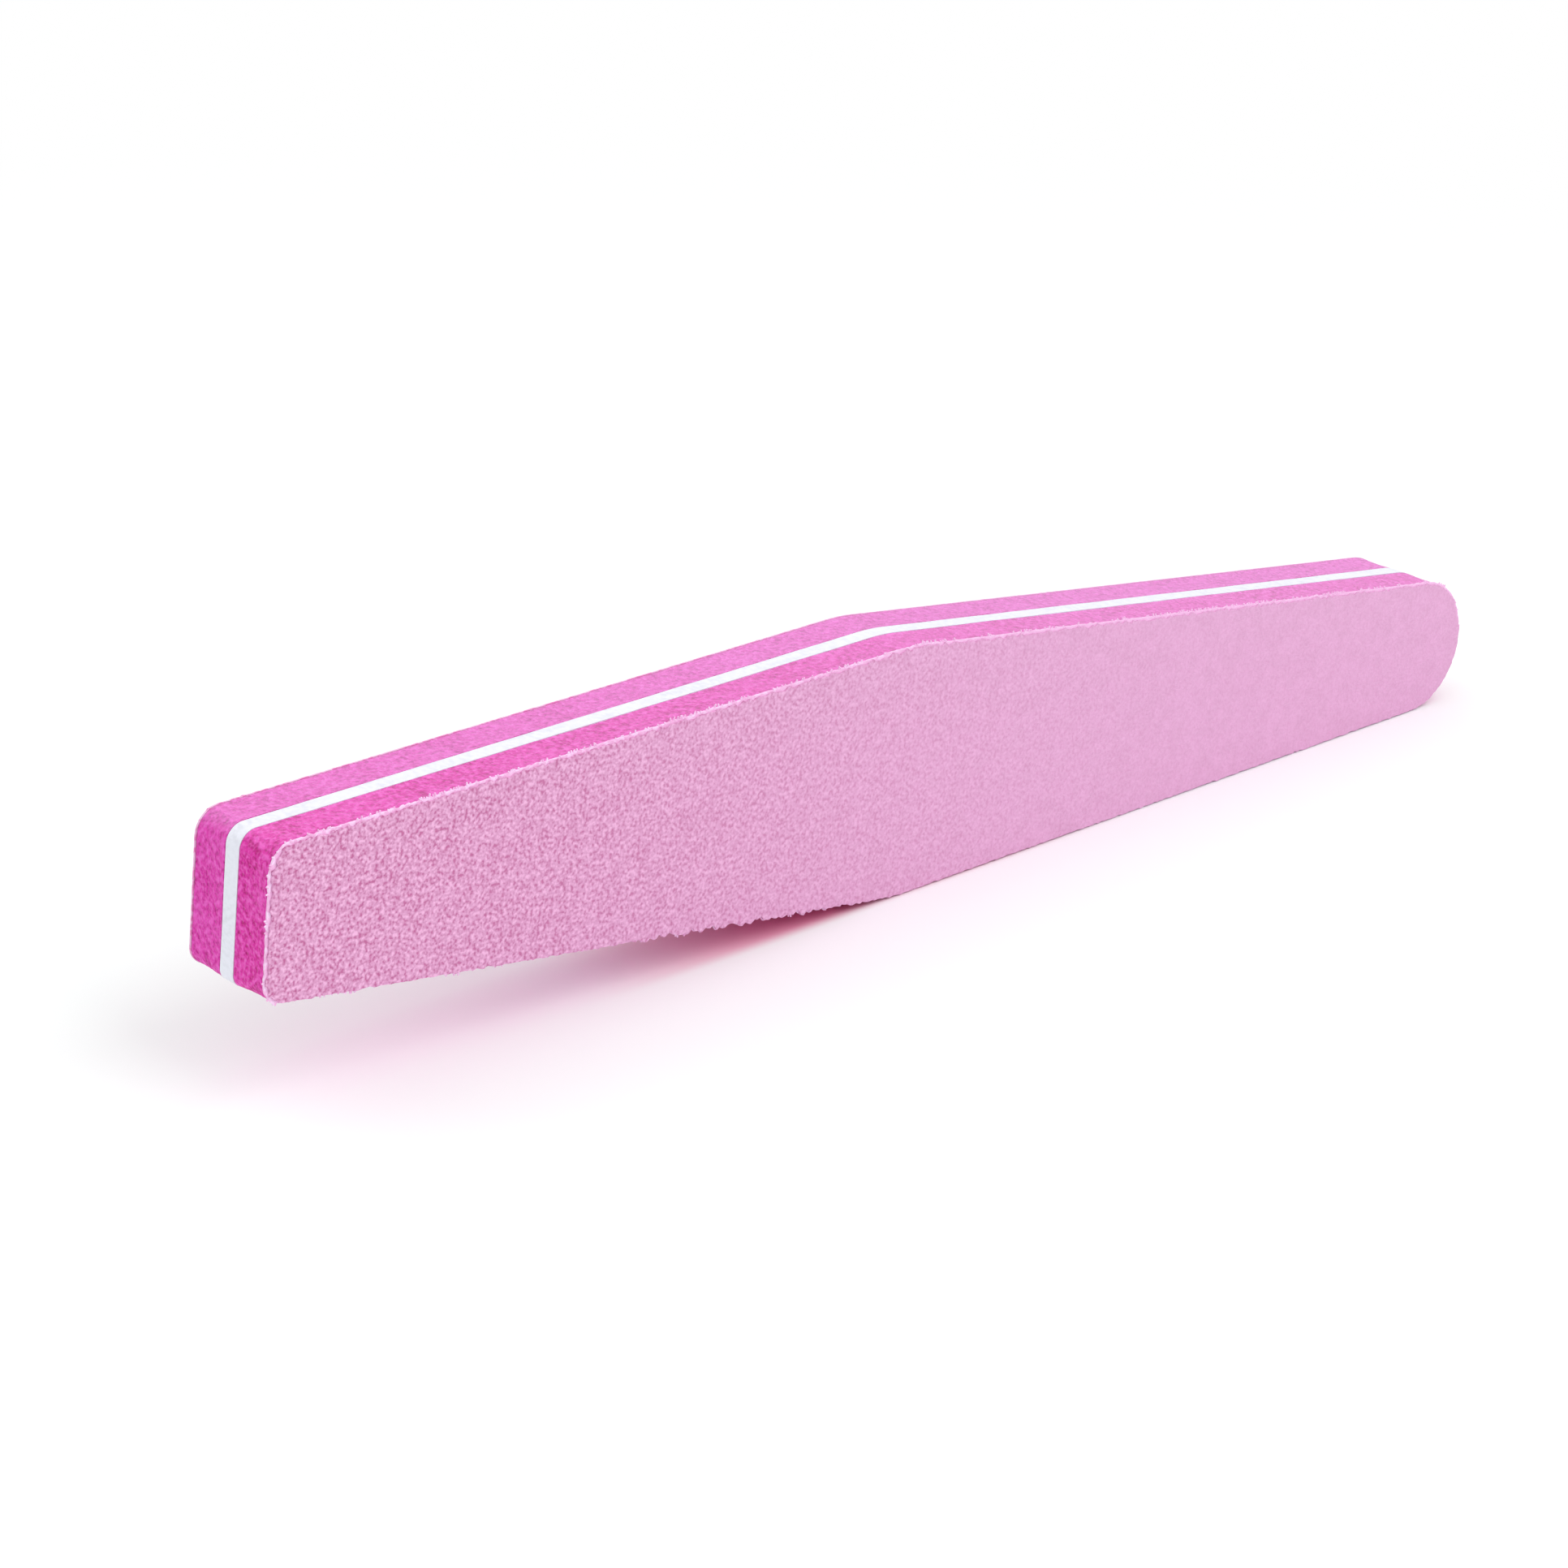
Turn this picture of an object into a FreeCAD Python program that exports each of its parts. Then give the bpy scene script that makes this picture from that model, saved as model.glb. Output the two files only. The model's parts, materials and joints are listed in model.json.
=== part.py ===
import FreeCAD, Part
import math
import os

Vector = FreeCAD.Vector

# A cushioned nail file, die-cut from a laminate: a stiff core board, and on each side of it a foam pad and an
# abrasive sheet, bonded face to face. Millimetres. X runs along the board from its square end to its round end,
# Y goes through its thickness with the front face towards -Y, and Z is up, across its width. The board stands on
# its long edge, and the origin lies under the middle of its length.

# Overall size.
length = 180.0
width = 28.0
thickness = 12.0

# Outline. Each long edge has two straight flats that meet at a rounded waist, the widest place of the board.
square_end_width = 15.6
square_end_to_waist = 84.0
waist_radius = 28.0
round_end_radius = 8.0

# Corners of the square end. The cut leaves the firm core crisper than the springy faces.
core_corner_radius = 2.0
face_corner_radius = 2.8

# Layers, from the middle of the board outwards. The foam fills the depth that the others leave.
core_thickness = 2.0
core_adhesive_thickness = 0.1
sheet_adhesive_thickness = 0.1
backing_thickness = 0.2
grit_thickness = 0.2

# Depth at which each layer starts, measured from the middle of the board.
core_adhesive_depth = core_thickness / 2
foam_depth = core_adhesive_depth + core_adhesive_thickness
grit_depth = thickness / 2 - grit_thickness
backing_depth = grit_depth - backing_thickness
sheet_adhesive_depth = backing_depth - sheet_adhesive_thickness


def flat_normal(start, start_radius, finish, finish_radius):
    """Upward unit normal of the line that lies on top of two circles."""
    reach = finish - start
    rise = math.asin((finish_radius - start_radius) / reach.Length)
    angle = math.atan2(reach.z, reach.x) + rise
    return Vector(-math.sin(angle), 0, math.cos(angle))


def arc_points(centre, radius, first, last):
    """Start, middle and end of an arc about a centre, between two unit directions."""
    middle = (first + last).normalize()
    return [centre + direction * radius for direction in (first, middle, last)]


def mirrored(points):
    """The same arc on the lower long edge, run the other way."""
    return [Vector(point.x, point.y, width - point.z) for point in reversed(points)]


# Upper flats of the outline: from the square end's sharp corner to the waist, and from the waist to the round end.
end_corner = Vector(-length / 2, 0, (width + square_end_width) / 2)
waist_centre = Vector(square_end_to_waist - length / 2, 0, width - waist_radius)
round_end_centre = Vector(length / 2 - round_end_radius, 0, width / 2)
square_flat_normal = flat_normal(end_corner, 0, waist_centre, waist_radius)
round_flat_normal = flat_normal(waist_centre, waist_radius, round_end_centre, round_end_radius)


def outline(y, corner_radius):
    """Closed outline of the board at a depth: five arcs, each joined to the next by a straight edge."""
    corner_drop = corner_radius * (1 + square_flat_normal.x) / square_flat_normal.z
    corner_centre = end_corner + Vector(corner_radius, 0, -corner_drop)
    upper_corner = arc_points(corner_centre, corner_radius, Vector(-1, 0, 0), square_flat_normal)
    upper_waist = arc_points(waist_centre, waist_radius, square_flat_normal, round_flat_normal)
    lower_flat_normal = Vector(round_flat_normal.x, 0, -round_flat_normal.z)
    round_end = arc_points(round_end_centre, round_end_radius, round_flat_normal, lower_flat_normal)
    arcs = [upper_corner, upper_waist, round_end, mirrored(upper_waist), mirrored(upper_corner)]
    edges = []
    for arc, following in zip(arcs, arcs[1:] + arcs[:1]):
        edges.append(Part.Arc(*arc).toShape())
        edges.append(Part.LineSegment(arc[-1], following[0]).toShape())
    wire = Part.Wire(edges)
    wire.translate(Vector(0, y, 0))
    return wire


def flat_layer(side, depth, layer_thickness, corner_radius):
    """Layer of even outline. Side is -1 at the front of the board and 1 at the rear."""
    face = Part.Face(outline(side * depth, corner_radius))
    return face.extrude(Vector(0, side * layer_thickness, 0))


def foam_pad(side):
    """Sponge layer, whose end corners round off more and more from the core to the face."""
    inner = outline(side * foam_depth, core_corner_radius)
    outer = outline(side * sheet_adhesive_depth, face_corner_radius)
    return Part.makeLoft([inner, outer], True, True)


core_face = Part.Face(outline(-core_thickness / 2, core_corner_radius))
pieces = {"core_board": core_face.extrude(Vector(0, core_thickness, 0))}
for name, side in (("front", -1), ("rear", 1)):
    pieces[f"{name}_core_adhesive"] = flat_layer(
        side, core_adhesive_depth, core_adhesive_thickness, core_corner_radius)
    pieces[f"{name}_foam_pad"] = foam_pad(side)
    pieces[f"{name}_sheet_adhesive"] = flat_layer(
        side, sheet_adhesive_depth, sheet_adhesive_thickness, face_corner_radius)
    pieces[f"{name}_backing_sheet"] = flat_layer(side, backing_depth, backing_thickness, face_corner_radius)
    pieces[f"{name}_grit_coat"] = flat_layer(side, grit_depth, grit_thickness, face_corner_radius)

os.makedirs("parts", exist_ok=True)
for name, shape in pieces.items():
    shape.exportStep(f"parts/{name}.step")
    print(name, "valid" if shape.isValid() else "not valid", round(shape.Volume, 1), "mm3")
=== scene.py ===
import bmesh
import bpy
import json
import math
import random
from mathutils import Matrix, Vector, noise


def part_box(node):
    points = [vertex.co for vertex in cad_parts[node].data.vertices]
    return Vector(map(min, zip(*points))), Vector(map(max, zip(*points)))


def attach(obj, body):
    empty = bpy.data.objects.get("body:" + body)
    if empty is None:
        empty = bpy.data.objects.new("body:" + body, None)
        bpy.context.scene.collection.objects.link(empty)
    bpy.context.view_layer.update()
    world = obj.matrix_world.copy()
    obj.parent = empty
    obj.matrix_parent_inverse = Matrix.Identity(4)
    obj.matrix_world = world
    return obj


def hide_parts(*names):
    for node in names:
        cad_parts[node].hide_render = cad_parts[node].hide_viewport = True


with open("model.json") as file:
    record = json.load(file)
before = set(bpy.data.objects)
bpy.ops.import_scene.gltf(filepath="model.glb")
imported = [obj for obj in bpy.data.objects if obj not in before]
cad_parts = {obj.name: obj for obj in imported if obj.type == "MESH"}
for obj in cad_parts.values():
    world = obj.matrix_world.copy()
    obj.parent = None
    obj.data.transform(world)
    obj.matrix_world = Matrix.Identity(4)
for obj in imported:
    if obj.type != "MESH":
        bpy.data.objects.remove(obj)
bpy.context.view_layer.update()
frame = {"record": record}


# Core board: the stiff white plastic strip that carries the foam on both of its faces.
# One stroke of a steel-rule die cuts it and everything bonded to it, so only its cut edge shows,
# with faint draw marks from the blade.
core_low, core_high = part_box("core_board")
middle_z = (core_low.z + core_high.z) / 2
square_end_width = 0.0156
square_end_to_waist = 0.084
waist_radius = 0.028
round_end_radius = 0.008
core_corner_radii = (0.0020, 0.0014)
corner_steps = 14
waist_steps = 16
round_steps = 48
flat_cuts = 330
square_end_cuts = 47
seam = 0.00001
cut_edge_angle = 0.7


def flat_normal(start, start_radius, finish, finish_radius):
    """Upward normal of the straight edge that lies on top of two circles."""
    reach = finish - start
    angle = math.atan2(reach.z, reach.x) + math.asin((finish_radius - start_radius) / reach.length)
    return Vector((-math.sin(angle), 0, math.cos(angle)))


end_corner = Vector((core_low.x, 0, middle_z + square_end_width / 2))
waist_centre = Vector((core_low.x + square_end_to_waist, 0, core_high.z - waist_radius))
round_end_centre = Vector((core_high.x - round_end_radius, 0, middle_z))
square_flat_normal = flat_normal(end_corner, 0, waist_centre, waist_radius)
round_flat_normal = flat_normal(waist_centre, waist_radius, round_end_centre, round_end_radius)


def draw_long_edge(bm, y, corner_radius, inset=0.0):
    """Draws the upper long edge at a depth, from the square end to the tip of the round end."""
    drop = corner_radius * (1 + square_flat_normal.x) / square_flat_normal.z
    corner_centre = end_corner + Vector((corner_radius, 0, -drop))
    arcs = (
        (corner_centre, corner_radius, Vector((-1, 0, 0)), square_flat_normal, corner_steps),
        (waist_centre, waist_radius, square_flat_normal, round_flat_normal, waist_steps),
        (round_end_centre, round_end_radius, round_flat_normal, Vector((1, 0, 0)), round_steps),
    )
    pen = None
    flats = []
    for centre, radius, first, last, steps in arcs:
        start = centre + first * (radius - inset) + Vector((0, y, 0))
        if pen is None:
            pen = bmesh.ops.create_vert(bm, co=start)["vert"][0]
        else:
            run = bmesh.ops.extrude_vert_indiv(bm, verts=[pen])
            flats += run["edges"]
            pen = run["verts"][0]
            pen.co = start
        turn = bmesh.ops.spin(
            bm, geom=[pen], cent=centre, axis=(0, 1, 0), angle=first.angle(last), steps=steps)
        pen = next(part for part in turn["geom_last"] if isinstance(part, bmesh.types.BMVert))
    bmesh.ops.subdivide_edges(bm, edges=flats, cuts=flat_cuts)


def turn_over(bm, points):
    """Turns points over, from the upper side of the board's middle line to the lower."""
    middle = Matrix.Translation((0, 0, -middle_z))
    bmesh.ops.scale(bm, vec=(1, 1, -1), space=middle, verts=points)


def at_depth(parts, y):
    """The points or edges that lie at a depth."""
    def points(part):
        return part.verts if isinstance(part, bmesh.types.BMEdge) else [part]
    return [part for part in parts if all(abs(v.co.y - y) < seam for v in points(part))]


def draw_outline(bm, y, corner_radii, inset=0.0):
    """Draws the whole die-cut outline at a depth as one closed loop."""
    upper_radius, lower_radius = corner_radii
    draw_long_edge(bm, y, lower_radius, inset)
    turn_over(bm, at_depth(bm.verts, y))
    draw_long_edge(bm, y, upper_radius, inset)
    bmesh.ops.remove_doubles(bm, verts=at_depth(bm.verts, y), dist=seam)
    ends = [v for v in at_depth(bm.verts, y) if len(v.link_edges) == 1]
    closing = bmesh.ops.contextual_create(bm, geom=ends)["edges"]
    bmesh.ops.subdivide_edges(bm, edges=closing, cuts=square_end_cuts)


def cut_layer(near, far, rows):
    """Closed layer between two outlines, each given as depth, corner radii and, if any, inset."""
    bm = bmesh.new()
    for outline in (near, far):
        draw_outline(bm, *outline)
    bmesh.ops.bridge_loops(bm, edges=bm.edges)
    for depth in (near[0], far[0]):
        bmesh.ops.edgeloop_fill(bm, edges=at_depth(bm.edges, depth))
    across = [e for e in bm.edges if abs(e.verts[0].co.y - e.verts[1].co.y) > seam]
    bmesh.ops.subdivide_edges(bm, edges=across, cuts=rows - 1, use_grid_fill=True)
    bmesh.ops.recalc_face_normals(bm, faces=bm.faces)
    return bm


def press_out(bm, height):
    """Moves each point of the cut edge square to the outline, by a height worked out from its place."""
    bm.normal_update()
    moves = [Vector((v.normal.x, 0, v.normal.z)).normalized() * height(v.co) for v in bm.verts]
    for v, move in zip(bm.verts, moves):
        v.co += move


def finish_piece(bm, name, material, node, sharp_angle=cut_edge_angle):
    """Turns a mesh into a piece that stands for its node and rides on the board."""
    mesh = bpy.data.meshes.new(name)
    bm.to_mesh(mesh)
    bm.free()
    mesh.shade_smooth()
    mesh.set_sharp_from_angle(angle=sharp_angle)
    mesh.materials.append(material)
    piece = bpy.data.objects.new(name, mesh)
    bpy.context.scene.collection.objects.link(piece)
    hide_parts(node)
    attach(piece, "root")
    return piece


def add_node(tree, kind, inputs=(), **settings):
    """Adds a shader node, sets it, and feeds its inputs with plain values or other nodes' outputs."""
    node = tree.nodes.new("ShaderNode" + kind)
    for name, value in settings.items():
        setattr(node, name, value)
    for name, value in dict(inputs).items():
        if isinstance(value, bpy.types.NodeSocket):
            tree.links.new(value, node.inputs[name])
        else:
            node.inputs[name].default_value = value
    return node


def new_material(name):
    """A material with its Principled shader, ready for nodes."""
    material = bpy.data.materials.new(name)
    material.use_nodes = True
    return material, material.node_tree, material.node_tree.nodes["Principled BSDF"]


def piece_place(tree):
    """The place on the piece, in metres."""
    return add_node(tree, "TexCoord").outputs["Object"]


def mix_colours(tree, factor, first, second):
    """A colour between two, by a factor. A Mix node takes colours at sockets 6 and 7, and gives one at 2."""
    return add_node(tree, "Mix", {0: factor, 6: first, 7: second}, data_type="RGBA").outputs[2]


def spread(tree, value, span, ends=(0.0, 1.0), curve="SMOOTHSTEP"):
    """Stretches a value so that the two ends of its span become the two ends given."""
    stretch = {
        "Value": value, "From Min": span[0], "From Max": span[1], "To Min": ends[0], "To Max": ends[1]}
    return add_node(tree, "MapRange", stretch, interpolation_type=curve).outputs["Result"]


def speckle(tree, place, per_metre, detail):
    """Irregular speckle from 0 to 1, at so many to the metre."""
    return add_node(tree, "TexNoise", {"Vector": place, "Scale": per_metre, "Detail": detail}).outputs["Fac"]


def finish_surface(tree, shader, colour, roughness, height, depth, strength):
    """Feeds a material's shader with its colour, its roughness and its relief."""
    relief = add_node(tree, "Bump", {"Strength": strength, "Distance": depth, "Height": height})
    tree.links.new(colour, shader.inputs["Base Color"])
    tree.links.new(roughness, shader.inputs["Roughness"])
    tree.links.new(relief.outputs["Normal"], shader.inputs["Normal"])


# The broad unevenness of the core, the bond lines, the foam and the grit: soft patches, from 0 to 1.
patch_detail = 4.0
patch_span = (0.3, 0.7)
patches = bpy.data.node_groups.new("patches", "ShaderNodeTree")
patches.interface.new_socket("Per Metre", in_out="INPUT", socket_type="NodeSocketFloat")
patches.interface.new_socket("Amount", in_out="OUTPUT", socket_type="NodeSocketFloat")
patches_in = patches.nodes.new("NodeGroupInput")
patches_out = patches.nodes.new("NodeGroupOutput")
patches_speckle = speckle(patches, piece_place(patches), patches_in.outputs["Per Metre"], patch_detail)
patches.links.new(spread(patches, patches_speckle, patch_span), patches_out.inputs["Amount"])


def add_patches(tree, per_metre):
    """Places the patches in a material, at so many to the metre."""
    group = tree.nodes.new("ShaderNodeGroup")
    group.node_tree = patches
    group.inputs["Per Metre"].default_value = per_metre
    return group.outputs["Amount"]


core_white = (0.84, 0.85, 0.94, 1)
core_shade = (0.72, 0.73, 0.81, 1)
core_patches_per_metre = 160
core_patches_span = (0.0, 1.6)
marks_per_metre = 1900
marks_detail = 2
marks_stretch = (1, 0.7, 1)
marks_span = (0.25, 0.65)
marks_roughness_span = (-1.2, 2.2)
marks_depth = 0.00003
marks_strength = 0.5
core_plastic, tree, shader = new_material("core plastic")
along_cut = add_node(tree, "Mapping", {"Vector": piece_place(tree), "Scale": marks_stretch}).outputs["Vector"]
draw_marks = speckle(tree, along_cut, marks_per_metre, marks_detail)
tone = mix_colours(tree, spread(tree, draw_marks, marks_span), core_shade, core_white)
core_patches = spread(tree, add_patches(tree, core_patches_per_metre), core_patches_span)
tone = mix_colours(tree, core_patches, tone, core_white)
roughness = spread(tree, draw_marks, marks_roughness_span)
finish_surface(tree, shader, tone, roughness, draw_marks, marks_depth, marks_strength)

core_rows = 8
core_ripple = 0.00002
core_ripple_pitch = 0.004
bm = cut_layer((core_low.y, core_corner_radii), (core_high.y, core_corner_radii), core_rows)
press_out(bm, lambda co: core_ripple * noise.noise(co / core_ripple_pitch))
finish_piece(bm, "core_strip", core_plastic, "core_board")


# Bond lines between the core and the foam: a thin film of clear hot-melt, rolled onto both faces
# of the core. It stops just short of the cut edge and shows as a hairline.
glue_inset = 0.00012
glue_rows = 2
glue_pale = (0.72, 0.45, 0.60, 1)
glue_deep = (0.55, 0.22, 0.42, 1)
glue_blots_per_metre = 700
glue_smears_per_metre = 1500
glue_roughness_span = (-0.6, 2.0)
glue_lumps_per_metre = 2500
glue_lump_height = 0.00004
glue_lump_strength = 0.4
glue, tree, shader = new_material("bond line")
tone = mix_colours(tree, add_patches(tree, glue_blots_per_metre), glue_deep, glue_pale)
roughness = spread(tree, add_patches(tree, glue_smears_per_metre), glue_roughness_span)
lumps = add_patches(tree, glue_lumps_per_metre)
finish_surface(tree, shader, tone, roughness, lumps, glue_lump_height, glue_lump_strength)

for side in ("front", "rear"):
    low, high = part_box(f"{side}_core_adhesive")
    bm = cut_layer(
        (low.y, core_corner_radii, glue_inset), (high.y, core_corner_radii, glue_inset), glue_rows)
    finish_piece(bm, f"{side}_core_bond", glue, f"{side}_core_adhesive")


# Foam pads: fine-celled pink sponge, sliced flat and bonded to the core. The blade squeezes the foam as
# it cuts, so the cut edge is a little hollow, its cells are open, and its corners round off towards the
# face. The two pads come from different slabs, and the rear one is dyed a little more lilac.
face_corner_radii = (0.0028, 0.0020)
foam_rows = 20
foam_hollow = 0.00008
foam_wave = 0.00006
foam_wave_pitch = 0.007
foam_cell = 0.0004
foam_cell_depth = 0.00006
foam_cell_level = 0.8
foam_dyes = {
    "front": ((0.50, 0.010, 0.20, 1), (0.74, 0.034, 0.38, 1), (0.89, 0.13, 0.58, 1)),
    "rear": ((0.52, 0.014, 0.25, 1), (0.74, 0.044, 0.41, 1), (0.88, 0.13, 0.60, 1)),
}
foam_cells_per_metre = 3000
foam_walls_span = (0.4, 1.2)
foam_speckles_per_metre = 1700
foam_speckle_detail = 1.5
foam_deep_span = (0.30, 0.50)
foam_pale_span = (0.48, 0.70)
foam_patches_per_metre = 220
foam_patches_span = (-0.2, 3.0)
foam_roughness_span = (-2.0, 0.8)
foam_relief_depth = 0.00018
foam_relief_strength = 0.9
foam_specular = 0.2
foam_bloom = 0.15
foam_bloom_roughness = 0.4
# Painted sheen: the foam's upward faces are painted paler for the light they catch from above, more so
# towards the round end.
painted_sheen_shares = {"front": (0.07, 0.30), "rear": (0.18, 0.34)}
painted_sheen_pale = (0.86, 0.62, 0.98, 1)
painted_sheen_run = (-0.09, 0.03)
painted_sheen_facing_span = (0.3, 0.95)


def one_axis(tree, vector, axis):
    """One of a vector's three parts."""
    return add_node(tree, "SeparateXYZ", {"Vector": vector}).outputs[axis]


def work_out(tree, operation, *values):
    """The result of one sum on values that change over the surface."""
    return add_node(tree, "Math", enumerate(values), operation=operation).outputs["Value"]


def sponge_material(name, deep, middle, pale, sheen_ends):
    """Open-celled dyed foam: pale cell walls, deep cells, a pale sheen painted on upward faces, a bloom at
    low angles.
    """
    sponge, tree, shader = new_material(name)
    place = piece_place(tree)
    cells = add_node(
        tree, "TexVoronoi", {"Vector": place, "Scale": foam_cells_per_metre}).outputs["Distance"]
    fine = speckle(tree, place, foam_speckles_per_metre, foam_speckle_detail)
    tone = mix_colours(tree, spread(tree, fine, foam_deep_span), deep, middle)
    tone = mix_colours(tree, spread(tree, fine, foam_pale_span), tone, pale)
    tone = mix_colours(tree, spread(tree, cells, foam_walls_span), tone, pale)
    slab_patches = add_patches(tree, foam_patches_per_metre)
    tone = mix_colours(tree, spread(tree, slab_patches, foam_patches_span), tone, pale)
    # Painted sheen: upward faces are painted towards a pale lilac, more so towards the round end.
    upward = one_axis(tree, add_node(tree, "TexCoord").outputs["Normal"], "Z")
    amount = spread(tree, one_axis(tree, place, "X"), painted_sheen_run, sheen_ends, "LINEAR")
    painted_top_sheen = work_out(tree, "MULTIPLY", spread(tree, upward, painted_sheen_facing_span), amount)
    tone = mix_colours(tree, painted_top_sheen, tone, painted_sheen_pale)
    roughness = spread(tree, fine, foam_roughness_span)
    relief = work_out(tree, "ADD", cells, fine)
    finish_surface(tree, shader, tone, roughness, relief, foam_relief_depth, foam_relief_strength)
    shader.inputs["Specular IOR Level"].default_value = foam_specular
    shader.inputs["Sheen Weight"].default_value = foam_bloom
    shader.inputs["Sheen Roughness"].default_value = foam_bloom_roughness
    return sponge


def foam_height(co, core_side, face_side):
    """How far the cut edge of the foam stands out: hollow in the middle, wavy, and pitted with cells."""
    across = (co.y - core_side) / (face_side - core_side)
    hollow = -foam_hollow * 4 * across * (1 - across)
    wave = foam_wave * noise.noise(co / foam_wave_pitch)
    nearest = noise.voronoi(co / foam_cell)[0][0]
    return hollow + wave + foam_cell_depth * (nearest - foam_cell_level)


for side, outward in (("front", -1), ("rear", 1)):
    low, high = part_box(f"{side}_foam_pad")
    core_side, face_side = (low.y, high.y) if outward > 0 else (high.y, low.y)
    bm = cut_layer((core_side, core_corner_radii), (face_side, face_corner_radii), foam_rows)
    press_out(bm, lambda co: foam_height(co, core_side, face_side))
    sponge = sponge_material(f"{side} sponge", *foam_dyes[side], painted_sheen_shares[side])
    pad = finish_piece(bm, f"{side}_sponge", sponge, f"{side}_foam_pad")


# Bond lines between the foam and the abrasive sheet: the same clear film, carried on the sheet's back.
# It is pressed onto the foam before the board is cut, and it too stops just short of the cut edge.
for side in ("front", "rear"):
    low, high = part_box(f"{side}_sheet_adhesive")
    bm = cut_layer(
        (low.y, face_corner_radii, glue_inset), (high.y, face_corner_radii, glue_inset), glue_rows)
    finish_piece(bm, f"{side}_sheet_bond", glue, f"{side}_sheet_adhesive")


# Backing sheets: latex paper that carries the grit. The die tears it more than it cuts it, so a pale fringe
# of fibres stands out in tufts round the front sheet, less round the rear one. Part of the front's lower
# edge by the waist is torn ragged, and handling has worn and tinted the fringe towards the round end.
paper_rows = 2
fringe_mean = 0.00006
fringe_reach = 0.00026
fringe_pitch = 0.00055
fringe_bias = 0.25
fringe_shares = {"front": 1.0, "rear": 0.2}
fluff_lost = 0.25
tuft_pitch = 0.0030
tuft_mean = 0.5
tuft_least = -0.4
tear_from = -0.047
tear_to = -0.009
tear_fade = 0.004
tear_reach = 0.00055
tear_pitch = 0.0007
tooth_seed = 7
tooth_length = 0.00045
tooth_shortest = 0.00020
tooth_radius = 0.00013
tooth_taper = 0.6
tooth_sides = 6
tooth_slip = 0.00010
tooth_lean = 0.3
tooth_tilt = 0.4
tooth_growth = (-0.3, 1.2)
tooth_offset = 0.25
teeth_mean = 0.75
teeth_swing = 1.2
teeth_lost_below = 0.5
paper_tones = {
    "front": ((0.88, 0.46, 0.75, 1), (0.95, 0.67, 0.92, 1)),
    "rear": ((0.80, 0.20, 0.52, 1), (0.86, 0.50, 0.74, 1)),
}
paper_handled = (0.88, 0.52, 0.79, 1)
handled_run = (-0.06, 0.03)
handled_most = 0.85
fibres_per_metre = 5200
fibre_detail = 4
fibre_span = (0.2, 1.6)
dyed_tufts_per_metre = 1500
dyed_tuft_detail = 2
dyed_tuft_span = (0.42, 0.58)
paper_roughness_span = (-2.5, 0.8)
fibre_depth = 0.00006
fibre_strength = 0.6


def paper_material(name, dyed, bare):
    """Fibrous paper: bare pale tufts, stretches that the resin has dyed, and the tint of handling."""
    paper, tree, shader = new_material(name)
    place = piece_place(tree)
    fibres = speckle(tree, place, fibres_per_metre, fibre_detail)
    tufts = speckle(tree, place, dyed_tufts_per_metre, dyed_tuft_detail)
    tone = mix_colours(tree, spread(tree, tufts, dyed_tuft_span), dyed, bare)
    tone = mix_colours(tree, spread(tree, fibres, fibre_span), tone, bare)
    handled = spread(tree, one_axis(tree, place, "X"), handled_run, (0.0, handled_most))
    tone = mix_colours(tree, handled, tone, paper_handled)
    roughness = spread(tree, fibres, paper_roughness_span)
    finish_surface(tree, shader, tone, roughness, fibres, fibre_depth, fibre_strength)
    return paper


def torn(co):
    """How much of the rough tear a place has: all between two points of the lower edge, none elsewhere."""
    if co.z > middle_z:
        return 0.0
    inside = min(co.x - tear_from, tear_to - co.x)
    return min(max(inside / tear_fade, 0.0), 1.0)


def fluff_kept(x):
    """How much of the fringe handling has left: all at the square end, less towards the round end."""
    return 1 - fluff_lost * (x - core_low.x) / (core_high.x - core_low.x)


def fringe(co, side):
    """How far the torn paper stands out from the clean outline."""
    place = Vector((co.x, 0, co.z))
    tufts = tuft_mean + max(noise.noise(place / tuft_pitch), tuft_least)
    reach = fringe_reach * tufts * fluff_kept(co.x)
    fluff = fringe_mean + reach * (noise.noise(place / fringe_pitch) + fringe_bias)
    if side == "rear":
        return fluff * fringe_shares[side]
    rip = tear_reach * noise.noise(place / tear_pitch)
    return fluff * fringe_shares[side] + torn(co) * rip


def plant_teeth(bm, y, facing, share):
    """Plants short blunt teeth of torn fibre round the edge of a sheet, where the tufts are."""
    chance = random.Random(tooth_seed)
    bm.normal_update()
    edge = at_depth(bm.verts, y)
    roots = [(v.co.copy(), Vector((v.normal.x, 0, v.normal.z)).normalized()) for v in edge]
    for root, outward in roots:
        along = Vector((outward.z, 0, -outward.x))
        slip = tooth_slip * chance.uniform(-1, 1)
        lean = outward + along * chance.uniform(-tooth_lean, tooth_lean)
        lean.y = facing * chance.uniform(0.0, tooth_tilt)
        below = root.z < middle_z
        tuft = teeth_mean + teeth_swing * noise.noise(root / tuft_pitch) - teeth_lost_below * below
        longest = tooth_length * share * min(tuft, 1.0) * fluff_kept(root.x)
        length = longest * chance.uniform(*tooth_growth)
        if length < tooth_shortest:
            continue
        middle = root + along * slip + lean.normalized() * length * tooth_offset
        bmesh.ops.create_cone(
            bm, cap_ends=True, segments=tooth_sides, depth=length,
            radius1=tooth_radius, radius2=tooth_radius * tooth_taper,
            matrix=Matrix.Translation(middle) @ lean.to_track_quat("Z", "Y").to_matrix().to_4x4())


for side, outward in (("front", -1), ("rear", 1)):
    low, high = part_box(f"{side}_backing_sheet")
    bm = cut_layer((low.y, face_corner_radii), (high.y, face_corner_radii), paper_rows)
    press_out(bm, lambda co: fringe(co, side))
    plant_teeth(bm, (low.y + high.y) / 2, outward, fringe_shares[side])
    paper = paper_material(f"{side} paper", *paper_tones[side])
    finish_piece(bm, f"{side}_paper", paper, f"{side}_backing_sheet")


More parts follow.
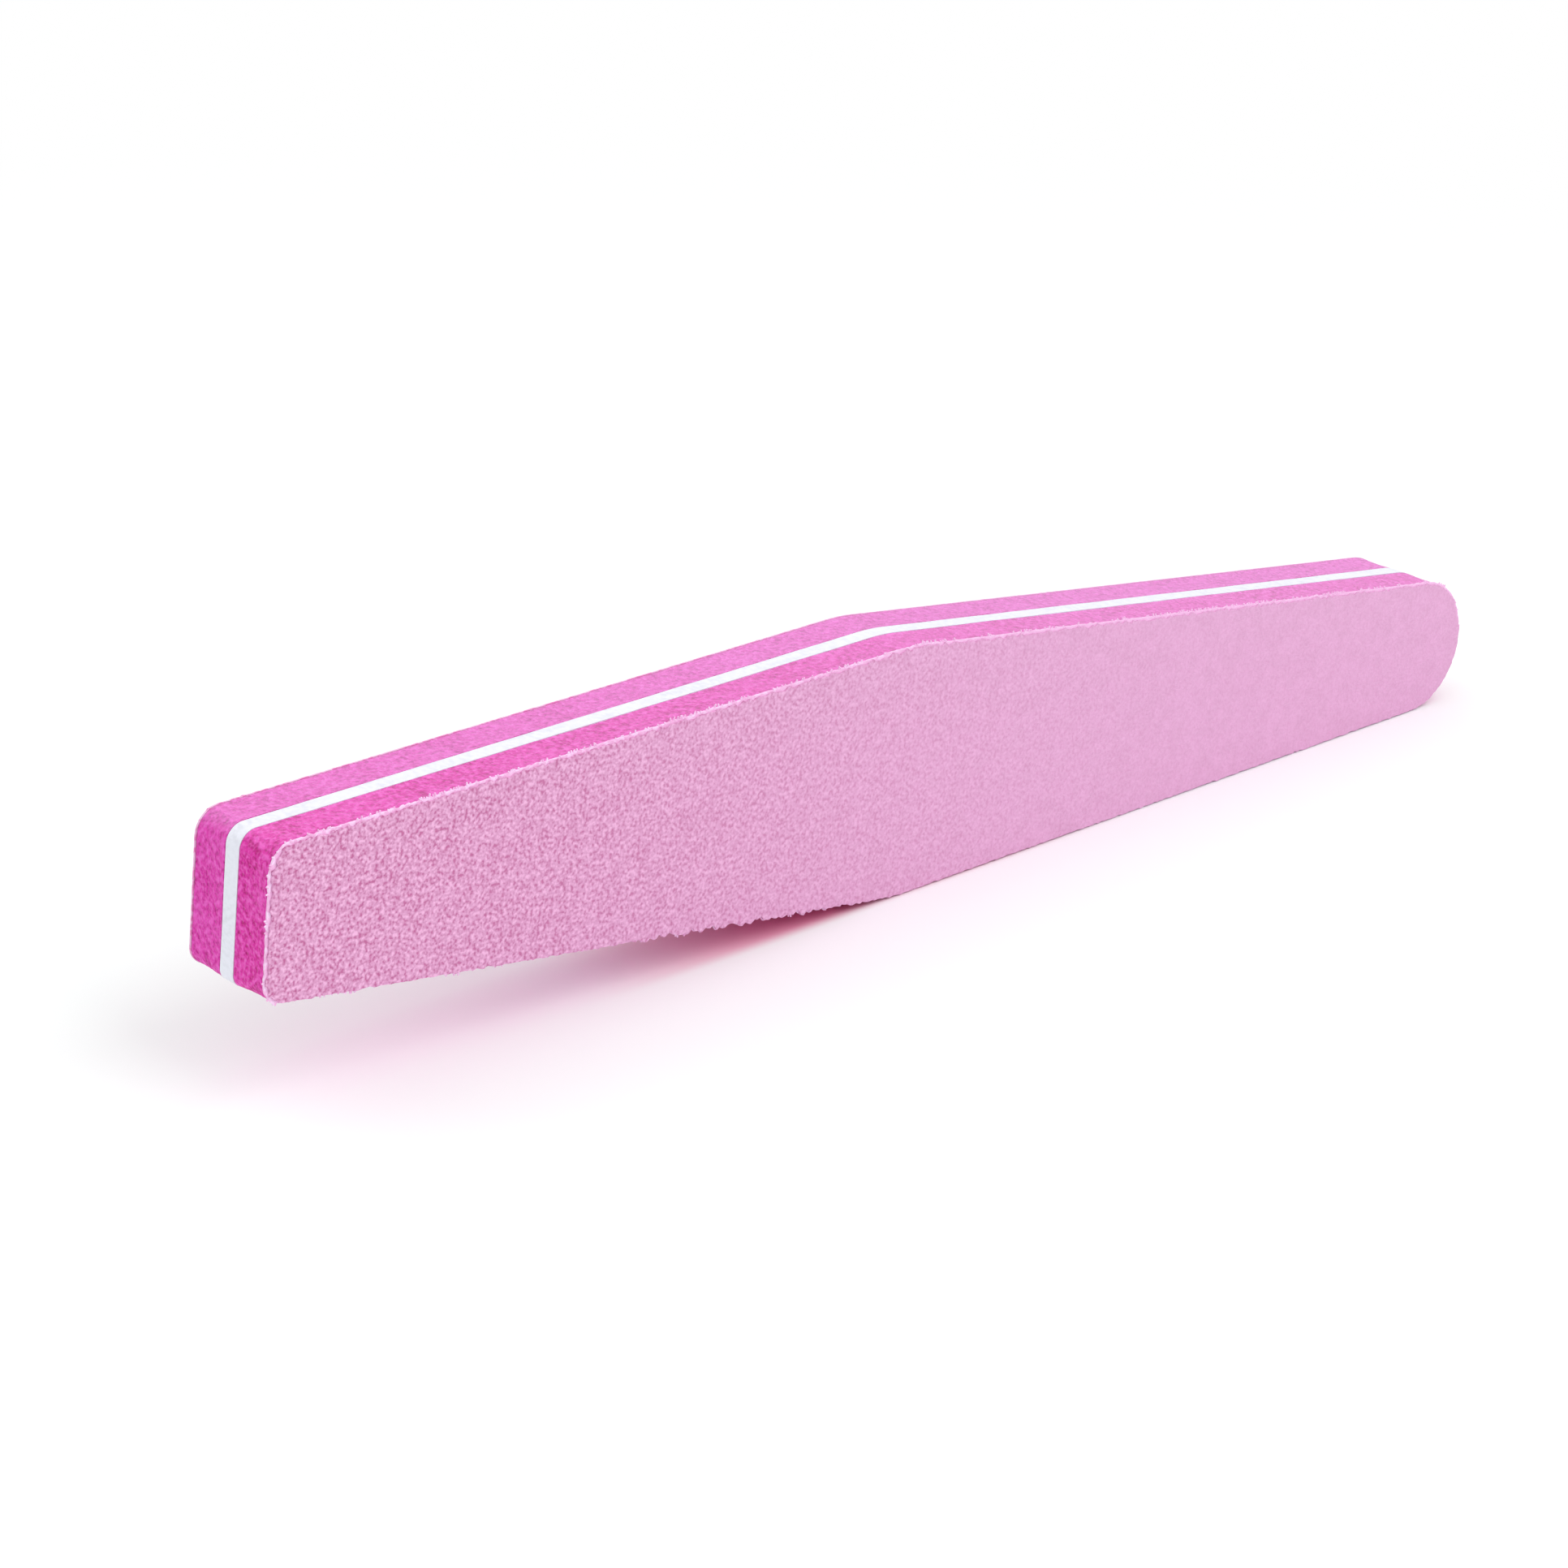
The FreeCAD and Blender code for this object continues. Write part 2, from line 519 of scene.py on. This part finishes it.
# Grit coats: abrasive grain scattered on the paper and locked in tinted resin, which makes both faces
# of the file. The grains stand up as fine sharp points, worn down towards the round end, and the coat
# chips back a little from the paper's edge.
grit_rows = 112
grain_size = 0.00040
grain_height = 0.00012
grain_level = 0.5
grain_swing = 0.7
grain_edge_angle = 1.2
wear_from = -0.09
wear_to = 0.05
wear_most = 0.86
chip_mean = 0.00027
chip_reach = 0.00030
chip_least = 0.00003
chip_below_share = 0.3
end_blend = 0.0015
# The grit's deep and pale tones are partly the grain's own colour, partly painted shade and painted
# highlight.
grit_deep_and_shade = (0.51, 0.13, 0.31, 1)
grit_base = (0.70, 0.33, 0.556, 1)
grit_pale_and_highlight = (0.88, 0.49, 0.74, 1)
grit_worn = (0.71, 0.377, 0.60, 1)
grit_buffed = (0.75, 0.40, 0.64, 1)
grains_per_metre = 2700
grain_detail = 1.0
grain_deep_span = (0.27, 0.52)
grain_pale_span = (0.49, 0.73)
fine_grains_per_metre = 7000
fine_grain_detail = 2
buffed_patches_per_metre = 600
grit_roughness_span = (-1.5, 1.0)
grit_relief_depth = 0.0001
grit_relief_strength = 0.5
grit_specular = 0.3

grit, tree, shader = new_material("pink grit")
place = piece_place(tree)
worn = spread(tree, one_axis(tree, place, "X"), (wear_from, wear_to), (0.0, wear_most))
grain = speckle(tree, place, grains_per_metre, grain_detail)
fine = speckle(tree, place, fine_grains_per_metre, fine_grain_detail)
# Partly painted shade and highlight: the tone is deep where the grain is low and pale where it is high, as in
# the relief below.
tone = mix_colours(tree, spread(tree, grain, grain_deep_span), grit_deep_and_shade, grit_base)
tone = mix_colours(tree, spread(tree, grain, grain_pale_span), tone, grit_pale_and_highlight)
flat_tone = mix_colours(tree, add_patches(tree, buffed_patches_per_metre), grit_worn, grit_buffed)
tone = mix_colours(tree, worn, tone, flat_tone)
roughness = spread(tree, fine, grit_roughness_span)
relief = work_out(tree, "ADD", fine, grain)
finish_surface(tree, shader, tone, roughness, relief, grit_relief_depth, grit_relief_strength)
shader.inputs["Specular IOR Level"].default_value = grit_specular


def grain_share(co):
    """How high the grain stands at a place, from 0 in the resin to 1 on a sharp point."""
    return min(max(grain_level + grain_swing * noise.noise(co / grain_size), 0.0), 1.0)


def wear_share(x):
    """How much of the grain's height has been worn off at a place along the board."""
    return wear_most * min(max((x - wear_from) / (wear_to - wear_from), 0.0), 1.0)


def coat_edge(co, side):
    """How far the coat's chipped edge stands out from the clean outline, always short of the paper."""
    chip = chip_mean + chip_reach * noise.noise(co / fringe_pitch)
    if co.z < middle_z and co.x > core_low.x + end_blend:
        chip *= chip_below_share
    return fringe(co, side) - max(chip, chip_least)


def coat_long_edge(y, corner_radius, sign, side):
    """Ragged long edge of the coat as a list of points from the square end to the tip."""
    bm = bmesh.new()
    draw_long_edge(bm, y, corner_radius)
    if sign < 0:
        turn_over(bm, bm.verts)
    places = sorted((v.co.copy() for v in bm.verts), key=lambda place: place.x)
    bm.free()
    edge = []
    for before, here, after in zip(places[:1] + places[:-1], places, places[1:] + places[-1:]):
        run = (after - before).normalized()
        edge.append(here + Vector((-run.z, 0, run.x)) * sign * coat_edge(here, side))
    return edge


def grit_coat(paper_side, face_side, side):
    """Sheet of standing grain: a fine grid between the two long edges, its rim turned back to the paper."""
    upper = coat_long_edge(face_side, face_corner_radii[0], 1, side)
    lower = coat_long_edge(face_side, face_corner_radii[1], -1, side)
    columns = len(upper) - 1
    rise = math.copysign(grain_height, face_side)
    bm = bmesh.new()
    bmesh.ops.create_grid(bm, x_segments=columns, y_segments=grit_rows, size=1)
    for v in bm.verts:
        column = round((v.co.x + 1) / 2 * columns)
        v.co = lower[column].lerp(upper[column], (v.co.y + 1) / 2)
        near_end = 1 - (v.co.x - core_low.x) / end_blend
        if near_end > 0:
            v.co.x -= coat_edge(Vector((core_low.x, v.co.y, v.co.z)), side) * near_end
        v.co.y += rise * (grain_share(v.co) - grain_level) * (1 - wear_share(v.co.x))
    bmesh.ops.remove_doubles(bm, verts=bm.verts, dist=seam)
    open_edges = [e for e in bm.edges if e.is_boundary]
    rim = bmesh.ops.extrude_edge_only(bm, edges=open_edges)["geom"]
    for part in rim:
        if isinstance(part, bmesh.types.BMVert):
            part.co.y = paper_side
    rim_foot = [part for part in rim if isinstance(part, bmesh.types.BMEdge) and part.is_boundary]
    bmesh.ops.edgeloop_fill(bm, edges=rim_foot)
    bmesh.ops.recalc_face_normals(bm, faces=bm.faces)
    return bm


for side, outward in (("front", -1), ("rear", 1)):
    low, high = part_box(f"{side}_grit_coat")
    paper_side, face_side = (low.y, high.y) if outward > 0 else (high.y, low.y)
    bm = grit_coat(paper_side, face_side, side)
    finish_piece(bm, f"{side}_grit", grit, f"{side}_grit_coat", grain_edge_angle)


# Floor: a matt table top in a slightly cool white. The board rests on the lower flat beside its round end,
# so the floor lies in the plane of that flat, just below the fringe. A pink shadow is painted on the floor
# under the waist, and the floor fades into the white surround.
floor_radius = 0.42
floor_sides = 96
shadow_radius = 0.17
surround_radius = 0.34
floor_white = (0.95, 0.985, 0.97, 1)
painted_shadow_pink = (0.88, 0.38, 0.53, 1)
painted_shadow_middle = -0.005
painted_shadow_length = (0.044, 0.010)
painted_shadow_width = (0.0068, 0.0045)
surround_white = (1, 1, 1, 1)
surround_level = 1.0
fringe_stands = 0.0002
resting = next(mount for mount in frame["record"]["mounts"] if mount["name"] == "standing_flat")
floor_up = -Vector(resting["axis"])
floor_middle = Vector(resting["pos_m"]) - floor_up * fringe_stands
bm = bmesh.new()
bmesh.ops.create_circle(bm, cap_ends=True, segments=floor_sides, radius=floor_radius)
turn = Vector((0, 0, 1)).rotation_difference(floor_up).to_matrix().to_4x4()
floor_mesh = bpy.data.meshes.new("floor")
bm.transform(Matrix.Translation(floor_middle) @ turn)
bm.to_mesh(floor_mesh)
bm.free()
floor = bpy.data.objects.new("floor", floor_mesh)
bpy.context.scene.collection.objects.link(floor)


def seen_ray(tree):
    """1 for the rays that see the white surround: straight, mirrored or through glass."""
    rays = add_node(tree, "LightPath").outputs
    mirrored = work_out(tree, "MAXIMUM", rays["Is Camera Ray"], rays["Is Glossy Ray"])
    return work_out(tree, "MAXIMUM", mirrored, rays["Is Transmission Ray"])


table, tree, shader = new_material("white table")
tree.nodes.remove(shader)
place = piece_place(tree)
off_middle = work_out(tree, "ABSOLUTE", one_axis(tree, place, "Y"))
off_waist = work_out(tree, "SUBTRACT", one_axis(tree, place, "X"), painted_shadow_middle)
off_waist = work_out(tree, "ABSOLUTE", off_waist)
# Painted shadow: a pink patch painted on the floor under the waist, where the board's shadow falls.
painted_shadow_patch = work_out(
    tree, "MULTIPLY", spread(tree, off_middle, painted_shadow_width), spread(tree, off_waist, painted_shadow_length))
matt = add_node(tree, "BsdfDiffuse", {"Color": mix_colours(tree, painted_shadow_patch, floor_white, painted_shadow_pink)})
glow = add_node(tree, "Emission", {"Color": surround_white, "Strength": surround_level})
distance = add_node(tree, "VectorMath", {0: place}, operation="LENGTH").outputs["Value"]
fade = spread(tree, distance, (shadow_radius, surround_radius))
shown = work_out(tree, "MULTIPLY", fade, seen_ray(tree))
surface = add_node(tree, "MixShader", {0: shown, 1: matt.outputs["BSDF"], 2: glow.outputs["Emission"]})
tree.links.new(surface.outputs["Shader"], tree.nodes["Material Output"].inputs["Surface"])
floor_mesh.materials.append(table)


# Light: a white tent with a bright roof and dimmer walls, a soft lamp over the front face and a weaker one
# behind the square end. Both lamps are round and face the middle of the board.
roof_level = 0.96
wall_level = 0.435
wall_to_roof_span = (0.1, 0.7)
soft_lamps = (
    {"name": "front", "place": (0.05, -0.45, 0.50), "size": 0.6, "power": 1.7},
    {"name": "back", "place": (-0.35, 0.40, 0.36), "size": 0.5, "power": 0.57},
)
world = bpy.data.worlds.new("tent")
bpy.context.scene.world = world
world.use_nodes = True
tree = world.node_tree
lit = tree.nodes["Background"]
rise = one_axis(tree, add_node(tree, "TexCoord").outputs["Generated"], "Z")
lit.inputs["Color"].default_value = surround_white
tree.links.new(spread(tree, rise, wall_to_roof_span, (wall_level, roof_level)), lit.inputs["Strength"])
white = add_node(tree, "Background", {"Color": surround_white, "Strength": surround_level})
sky = add_node(
    tree, "MixShader", {0: seen_ray(tree), 1: lit.outputs["Background"], 2: white.outputs["Background"]})
tree.links.new(sky.outputs["Shader"], tree.nodes["World Output"].inputs["Surface"])

for soft_lamp in soft_lamps:
    lamp = bpy.data.lights.new(soft_lamp["name"], "AREA")
    lamp.shape = "DISK"
    lamp.size = soft_lamp["size"]
    lamp.energy = soft_lamp["power"]
    holder = bpy.data.objects.new(soft_lamp["name"], lamp)
    holder.location = soft_lamp["place"]
    from_board = Vector(soft_lamp["place"]) - Vector((0, 0, middle_z))
    holder.rotation_euler = from_board.to_track_quat("Z", "Y").to_euler()
    bpy.context.scene.collection.objects.link(holder)


# Camera: from the front left and a little above, looking along the board from its square end.
# It is rolled a little, to go with the floor, which is tilted into the plane of the flat below the board.
azimuth = math.radians(-45.783)
elevation = math.radians(19.44)
roll = math.radians(5.403)
camera_distance = 0.44244
aim = Vector((-0.01787, 0.0, 0.01302))
lens = 97.04
sensor_width = 36.0
back = Vector((
    math.sin(azimuth) * math.cos(elevation), -math.cos(azimuth) * math.cos(elevation), math.sin(elevation)))
camera = bpy.data.cameras.new("camera")
camera.lens = lens
camera.sensor_width = sensor_width
camera_object = bpy.data.objects.new("camera", camera)
upright = back.to_track_quat("Z", "Y").to_matrix().to_4x4()
placed = Matrix.Translation(aim + back * camera_distance) @ upright
camera_object.matrix_world = placed @ Matrix.Rotation(roll, 4, "Z")
bpy.context.scene.collection.objects.link(camera_object)
bpy.context.scene.camera = camera_object
bpy.context.scene.view_settings.view_transform = "Standard"
